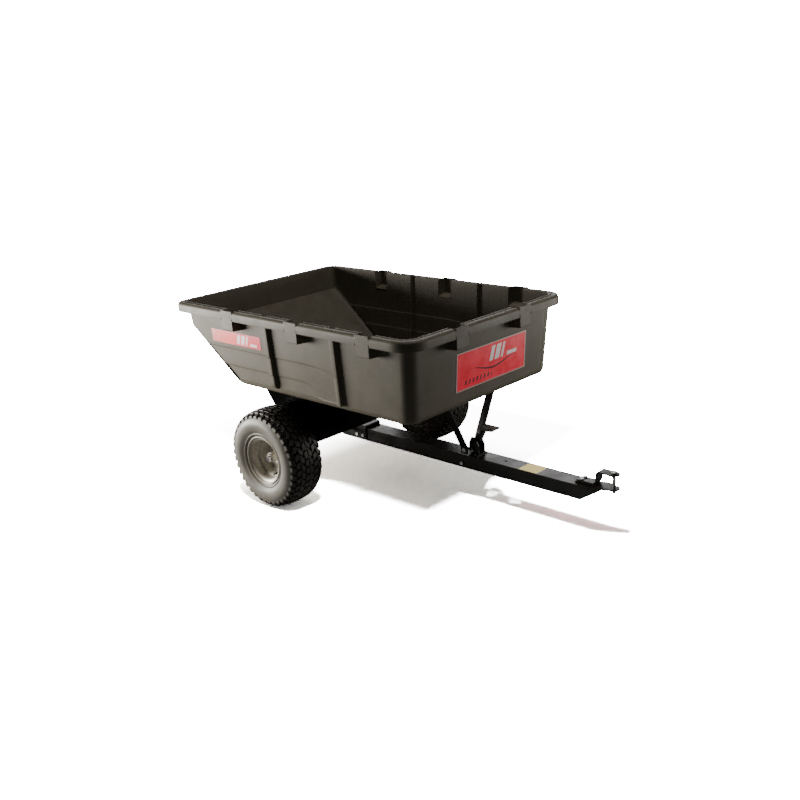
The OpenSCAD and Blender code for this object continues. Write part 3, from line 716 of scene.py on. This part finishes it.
def frame_line(tree, across, up, thick_across, thick_up):
    inside_across = band(tree, across, thick_across, 1 - thick_across)
    inside_up = band(tree, up, thick_up, 1 - thick_up)
    return maths(tree, "SUBTRACT", 1.0, both(tree, inside_across, inside_up))


def slanted_bars(tree, lean, up, tall_ends, low_ends, soft, places, low_place):
    """Tall bars side by side, then one low bar after them."""
    tall, low = band(tree, up, *tall_ends, soft), band(tree, up, *low_ends, soft)
    bars = [both(tree, band(tree, lean, *ends), tall) for ends in places]
    return either(tree, *bars, both(tree, band(tree, lean, *low_place), low))


# Print colour, also sent out as emission: a painted glow that makes the print look more brightly lit.
def print_with_painted_glow(tree, shader, tone, glow, gloss):
    feed(tree, shader, {"Base Color": tone, "Emission Color": tone, "Emission Strength": glow})
    wire(tree, gloss, shader.inputs["Roughness"])


BAR_WHITE = (0.8, 0.76, 0.76, 1)


def front_decal_material():
    """Red panel with a pale border, slanted white bars, one dark wave and a row of dark dashes, with a
    painted glow over the print.
    """
    material, tree, shader = new_material("front_decal")
    across, up = skin_axes(tree, "front_decal", 1, 2)
    lean = maths(tree, "MULTIPLY_ADD", up, -0.1, across)
    bars = slanted_bars(tree, lean, up, (0.52, 0.9), (0.52, 0.62), 0.012,
                        ((0.405, 0.455), (0.48, 0.545), (0.57, 0.6)), (0.66, 0.80))
    ripple = maths(tree, "SINE", maths(tree, "MULTIPLY", across, 9.0))
    wave = maths(tree, "MULTIPLY_ADD", ripple, 0.085, 0.42)
    gap = maths(tree, "ABSOLUTE", maths(tree, "SUBTRACT", up, wave))
    swell = maths(tree, "SINE", maths(tree, "MULTIPLY_ADD", across, 4.2, -0.63))
    near_wave = steps(tree, maths(tree, "SUBTRACT", maths(tree, "MULTIPLY", swell, 0.03), gap), 0.0, 0.012)
    swoosh = both(tree, near_wave, band(tree, across, 0.17, 0.86))
    dash = steps(tree, maths(tree, "FRACT", maths(tree, "MULTIPLY", lean, 19.0)), 0.42, 0.34)
    dashes = both(tree, both(tree, dash, band(tree, across, 0.1, 0.5)), band(tree, up, 0.13, 0.24, 0.012))
    mottle = steps(tree, noise(tree, object_place(tree), 30.0, 3.0, 0.5), 0.3, 0.7)
    red = blend_colours(tree, mottle, (0.86, 0.0, 0.025, 1), (0.95, 0.0, 0.035, 1))
    inked = blend_colours(tree, either(tree, swoosh, dashes), red, (0.06, 0.006, 0.012, 1))
    printed = blend_colours(tree, bars, inked, BAR_WHITE)
    edged = blend_colours(tree, frame_line(tree, across, up, 0.011, 0.028), printed, (0.42, 0.36, 0.33, 1))
    # Painted light: the print glows at strength 0.11.
    print_with_painted_glow(tree, shader, edged, 0.11, maths(tree, "MULTIPLY_ADD", mottle, 0.08, 0.3))
    return material


def side_decal_material():
    """Strip that runs from orange red to a deeper red, with slanted white bars at its front end, and a
    painted glow over the print.
    """
    material, tree, shader = new_material("side_decals")
    across, up = skin_axes(tree, "side_decals", 0, 2)
    lean = maths(tree, "MULTIPLY_ADD", up, -0.06, across)
    bars = slanted_bars(tree, lean, up, (0.16, 0.84), (0.16, 0.34), 0.04,
                        ((0.5, 0.555), (0.585, 0.65), (0.68, 0.71)), (0.77, 0.9))
    mottle = noise(tree, object_place(tree), 60.0, 3.0, 0.6)
    to_front = steps(tree, across, 0.3, 1.0)
    front_red = blend_colours(tree, to_front, (0.9, 0.005, 0.012, 1), (0.75, 0.0, 0.03, 1))
    fade = steps(tree, maths(tree, "MULTIPLY_ADD", mottle, 0.3, across), 0.55, 0.05)
    red = blend_colours(tree, fade, front_red, (0.6, 0.05, 0.012, 1))
    printed = blend_colours(tree, bars, red, BAR_WHITE)
    edged = blend_colours(tree, frame_line(tree, across, up, 0.008, 0.05), printed, (0.3, 0.05, 0.05, 1))
    # Painted light: the print glows at strength 0.09.
    print_with_painted_glow(tree, shader, edged, 0.09, maths(tree, "MULTIPLY_ADD", mottle, 0.1, 0.28))
    return material


def label_material():
    """Plain yellow label with a paler edge, with a painted glow that brightens it."""
    material, tree, shader = new_material("drawbar_label")
    along, across = skin_axes(tree, "drawbar_label", 0, 1)
    mottle = noise(tree, object_place(tree), 45.0, 4.0, 0.6)
    tone = blend_colours(tree, mottle, (0.85, 0.66, 0.13, 1), (0.95, 0.82, 0.26, 1))
    edged = blend_colours(tree, frame_line(tree, along, across, 0.04, 0.04), tone, (0.72, 0.66, 0.4, 1))
    # Painted light: the label glows at strength 0.3.
    print_with_painted_glow(tree, shader, edged, 0.3, maths(tree, "MULTIPLY_ADD", mottle, 0.1, 0.35))
    return material


# ---- Finishes ----

SHOULDER = (0.160, 0.175)
TREAD_SHADED_TONE = (0.032, 0.03, 0.026, 1)


def tyre_material():
    """Rubber with painted light and shade: a pale lit tone on the sidewall, and a dark shaded tone from the
    shoulder out to the tread.
    """
    # Painted light: the sidewall tone is paler than the rubber, standing in for its lit face.
    material = moulded("tyre_rubber", (0.17, 0.16, 0.136), (0.21, 0.198, 0.168), 0.5,
                       grain=450.0, bump=0.5, wear=0.2, dust=0.1)
    tree, shader = material.node_tree, material.node_tree.nodes["Principled BSDF"]
    from_axle = put(tree, "ShaderNodeVectorMath", operation="MULTIPLY_ADD")
    feed(tree, from_axle, {0: object_place(tree), 1: (1, 0, 1), 2: (-AXLE_X, 0, -AXLE_Z * MM)})
    radius = put(tree, "ShaderNodeVectorMath", operation="LENGTH")
    wire(tree, from_axle.outputs[0], radius.inputs[0])
    # Painted shade: darker from the shoulder out, standing in for the tread that faces away from the lights.
    tread = steps(tree, radius.outputs["Value"], *SHOULDER)
    sidewall = shader.inputs["Base Color"].links[0].from_socket
    wire(tree, blend_colours(tree, tread, sidewall, TREAD_SHADED_TONE), shader.inputs["Base Color"])
    return material


TUB_POLY = moulded("tub_poly", (0.098, 0.088, 0.066), (0.114, 0.103, 0.079), 0.5,
                   grain=900.0, bump=0.3, wear=0.2, dust=0.04, sheen=0.2)
FRAME_PAINT = moulded("frame_paint", (0.004, 0.0038, 0.003), (0.0065, 0.006, 0.005), 0.34,
                      grain=500.0, bump=0.2, wear=0.12, dust=0.04, sheen=0.35)
PEDAL_PAINT = moulded("pedal_paint", (0.08, 0.078, 0.068), (0.13, 0.125, 0.11), 0.5,
                      grain=350.0, bump=0.6, wear=0.6, dust=0.1)
RUBBER = tyre_material()
RIM_PAINT = moulded("rim_paint", (0.42, 0.40, 0.34), (0.52, 0.49, 0.42), 0.34,
                    grain=600.0, bump=0.15, wear=0.3, dust=0.08, metal=0.15)
NYLON = moulded("nylon", (0.5, 0.49, 0.44), (0.58, 0.57, 0.52), 0.5, grain=300.0, bump=0.2)
ZINC = plated("zinc", (0.72, 0.72, 0.7), 0.38)
AXLE_STEEL = plated("axle_steel", (0.45, 0.45, 0.44), 0.32, spangle=20.0)
BUSHING_STEEL = plated("bushing_steel", (0.85, 0.85, 0.82), 0.3, spangle=60.0)
VALVE_RUBBER = moulded("valve_rubber", (0.02, 0.02, 0.019), (0.03, 0.03, 0.028), 0.7, grain=400.0, bump=0.3)

FINISHES = {
    "frame_paint": FRAME_PAINT, "axle_steel": AXLE_STEEL, "zinc": ZINC, "bushing_steel": BUSHING_STEEL,
    "nylon": NYLON, "rim_paint": RIM_PAINT, "valve_rubber": VALVE_RUBBER, "pedal_paint": PEDAL_PAINT,
    "label_yellow": label_material(),
}
OWN_SKINS = {"front_decal": front_decal_material(), "side_decals": side_decal_material()}
REPLACED = ("tub", "tyre_left", "tyre_right", "rim_left", "rim_right")
SHARP_SMALL = ("drawbar_label", "front_decal", "side_decals", "hitch_clip", "pedal_spring")
LARGE_PIECE, LARGE_SOFT, SMALL_SOFT = 0.15, 0.0009, 0.0004


def finish_cad_nodes():
    """Each carried-over node gets its finish and softened edges."""
    slots = {p["node"]: p["material_slot"] for p in frame["record"]["subparts"]}
    for name, obj in NODES.items():
        if name in REPLACED:
            continue
        obj.data.materials.clear()
        obj.data.materials.append(OWN_SKINS.get(name) or FINISHES[slots[name]])
        weld = obj.modifiers.new("weld", "WELD")
        weld.merge_threshold = 1e-5
        if name not in SHARP_SMALL:
            low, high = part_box(name)
            soft = obj.modifiers.new("soft_edges", "BEVEL")
            soft.width = LARGE_SOFT if max(high - low) > LARGE_PIECE else SMALL_SOFT
            soft.segments = 2
            soft.limit_method = "ANGLE"
            soft.angle_limit = math.radians(38)
            soft.harden_normals = True


# ---- Studio ----

WARM, NEUTRAL = (1, 0.97, 0.91), (1, 1, 1)
SEEN_FLOOR, UNSEEN_FLOOR = (84, 84, 84, 1), (0.14, 0.14, 0.135, 1)
FAR_GLOW, BESIDE_GLOW, ROOM_GLOW, ROOM_LIGHT = 30.0, 12.0, 30.0, 0.009


def softbox(name, place, aim, width, height, power, tint, link, linked):
    """An area light that leaves the linked objects unlit (EXCLUDE), or lights nothing else (INCLUDE)."""
    data = bpy.data.lights.new(name, "AREA")
    data.shape = "RECTANGLE"
    data.size, data.size_y, data.energy, data.color = width, height, power, tint
    lamp = bpy.data.objects.new(name, data)
    bpy.context.scene.collection.objects.link(lamp)
    lamp.location = place
    lamp.rotation_euler = (Vector(aim) - Vector(place)).to_track_quat("-Z", "Y").to_euler()
    lamp.visible_camera = False
    group = bpy.data.collections.new(name + "_link")
    for obj in linked:
        group.objects.link(obj)
    for member in group.collection_objects:
        member.light_linking.link_state = link
    lamp.light_linking.receiver_collection = group


def floor_material():
    """White floor that shows the cart's shadow to the camera, and turns pure white away from the cart."""
    material, tree, shader = new_material("floor")
    tree.nodes.remove(shader)
    seen = put(tree, "ShaderNodeLightPath").outputs["Is Camera Ray"]
    matt = put(tree, "ShaderNodeBsdfDiffuse")
    wire(tree, blend_colours(tree, seen, UNSEEN_FLOOR, SEEN_FLOOR), matt.inputs["Color"])
    # Painted light: a camera-only glow washes out the cart's shadow on the floor beyond the cart and behind
    # it, and whitens the floor further away.
    reach = put(tree, "ShaderNodeVectorMath", operation="LENGTH")
    wire(tree, object_place(tree), reach.inputs[0])
    axes = object_axes(tree)
    beyond = steps(tree, axes[1], 0.2, 0.6)
    behind = steps(tree, axes[0], AXLE_X - 0.15, AXLE_X - 0.45)
    beside = maths(tree, "MULTIPLY", either(tree, beyond, behind), BESIDE_GLOW)
    far_white = maths(tree, "MULTIPLY_ADD", steps(tree, reach.outputs["Value"], 1.1, 2.4), FAR_GLOW, beside)
    glow = put(tree, "ShaderNodeEmission")
    feed(tree, glow, {"Color": (1, 1, 1, 1), "Strength": both(tree, far_white, seen)})
    total = put(tree, "ShaderNodeAddShader")
    wire(tree, matt.outputs[0], total.inputs[0])
    wire(tree, glow.outputs[0], total.inputs[1])
    wire(tree, total.outputs[0], tree.nodes["Material Output"].inputs["Surface"])
    return material


def studio():
    """Softboxes either side, overhead and behind, a light for the floor's shadow, and a white room."""
    floor = mesh_object("floor", [(-60, -60, 0), (60, -60, 0), (60, 60, 0), (-60, 60, 0)], [(0, 1, 2, 3)],
                        floor_material(), False)
    flagged = [obj for name, obj in bpy.data.objects.items()
               if name.startswith(("pivot_bracket", "support_web", "tyre_shell_left", "rim_shell_left"))]
    softbox("left_softbox", place=(-2.2, -1.45, 0.55), aim=(0, 0, 0.4), width=1.2, height=0.8, power=128,
            tint=WARM, link="EXCLUDE", linked=[floor] + flagged)
    softbox("right_softbox", place=(1.45, 1.75, 0.5), aim=(0.3, 0.2, 0.5), width=0.9, height=0.8, power=26,
            tint=WARM, link="EXCLUDE", linked=[floor])
    softbox("overhead", place=(0.3, 0.2, 3.0), aim=(0.2, 0, 0.4), width=1.4, height=1.4, power=30,
            tint=WARM, link="EXCLUDE", linked=[floor])
    softbox("back_softbox", place=(-3.3, 3.4, 2.0), aim=(0, 0, 0.6), width=4.0, height=1.6, power=70,
            tint=NEUTRAL, link="EXCLUDE", linked=[floor])
    softbox("floor_key", place=(0.9, -1.3, 2.9), aim=(0.1, 0, 0.4), width=0.6, height=0.6, power=150,
            tint=NEUTRAL, link="INCLUDE", linked=[floor])
    world = bpy.data.worlds.new("white_room")
    bpy.context.scene.world = world
    world.use_nodes = True
    tree = world.node_tree
    seen = put(tree, "ShaderNodeLightPath").outputs["Is Camera Ray"]
    strength = maths(tree, "MULTIPLY_ADD", seen, ROOM_GLOW, ROOM_LIGHT)
    feed(tree, tree.nodes["Background"], {"Color": (1, 1, 1, 1), "Strength": strength})


tub = settle(build_tub(TUB_POLY), "tub_body", "tub_poly", "tub")
build_wheels(RUBBER, RIM_PAINT)
finish_cad_nodes()
studio()
